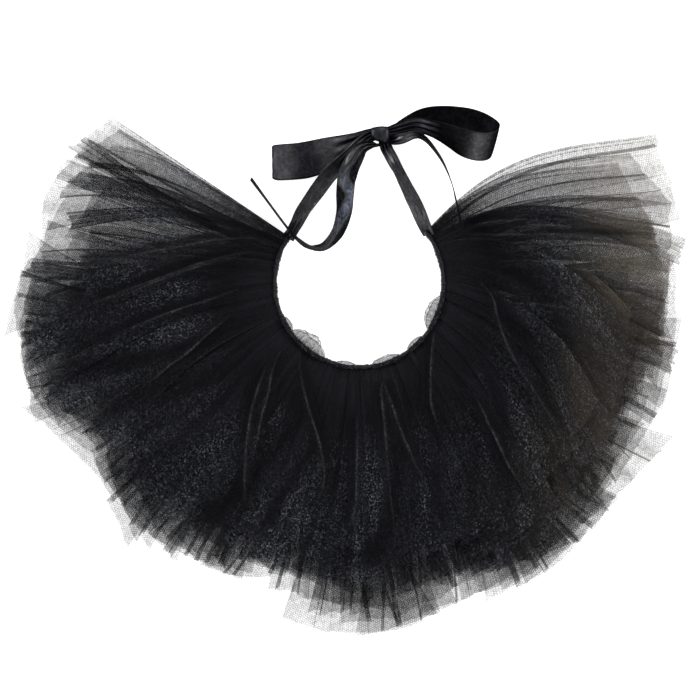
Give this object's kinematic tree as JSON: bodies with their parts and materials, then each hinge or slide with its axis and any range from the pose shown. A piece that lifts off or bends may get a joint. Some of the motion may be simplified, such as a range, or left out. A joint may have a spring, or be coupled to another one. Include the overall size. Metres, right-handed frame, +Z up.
{
  "type": "dog tutu",
  "caption": "Dog's tutu laid out flat and open: gathered waistband, tiers of pleated tulle fanning out round the waist opening, and satin ribbon ties in a bow.",
  "frame": {"origin": "on the surface the garment lies on, under the middle of its overall width and depth", "axes": "+X across the garment from its left tie to its right tie, +Y from the skirt towards the bow, +Z up, away from the surface"},
  "size_m": [0.4718, 0.3678, 0.0393],
  "materials": {
    "black_tulle": "fine matt black net, see-through at the hem, with a faint bluish sparkle",
    "satin_ribbon": "smooth black satin with soft bluish grey highlights",
    "gathered_elastic": "matt black net ruched over elastic"
  },
  "bodies": {
    "root": {"waistband": "gathered_elastic", "underskirt_panel_1": "black_tulle", "underskirt_panel_2": "black_tulle", "underskirt_panel_3": "black_tulle", "underskirt_panel_4": "black_tulle", "underskirt_panel_5": "black_tulle", "underskirt_panel_6": "black_tulle", "underskirt_panel_7": "black_tulle", "underskirt_panel_8": "black_tulle", "middle_panel_1": "black_tulle", "middle_panel_2": "black_tulle", "middle_panel_3": "black_tulle", "middle_panel_4": "black_tulle", "middle_panel_5": "black_tulle", "middle_panel_6": "black_tulle", "middle_panel_7": "black_tulle", "middle_panel_8": "black_tulle", "top_panel_1": "black_tulle", "top_panel_2": "black_tulle", "top_panel_3": "black_tulle", "top_panel_4": "black_tulle", "top_panel_5": "black_tulle", "top_panel_6": "black_tulle", "top_panel_7": "black_tulle", "top_panel_8": "black_tulle", "tie_left": "satin_ribbon", "tie_right": "satin_ribbon", "tail_left": "satin_ribbon", "tail_right": "satin_ribbon", "bow_loop_left": "satin_ribbon", "bow_loop_right": "satin_ribbon", "bow_knot": "satin_ribbon"}
  },
  "joints": []
}
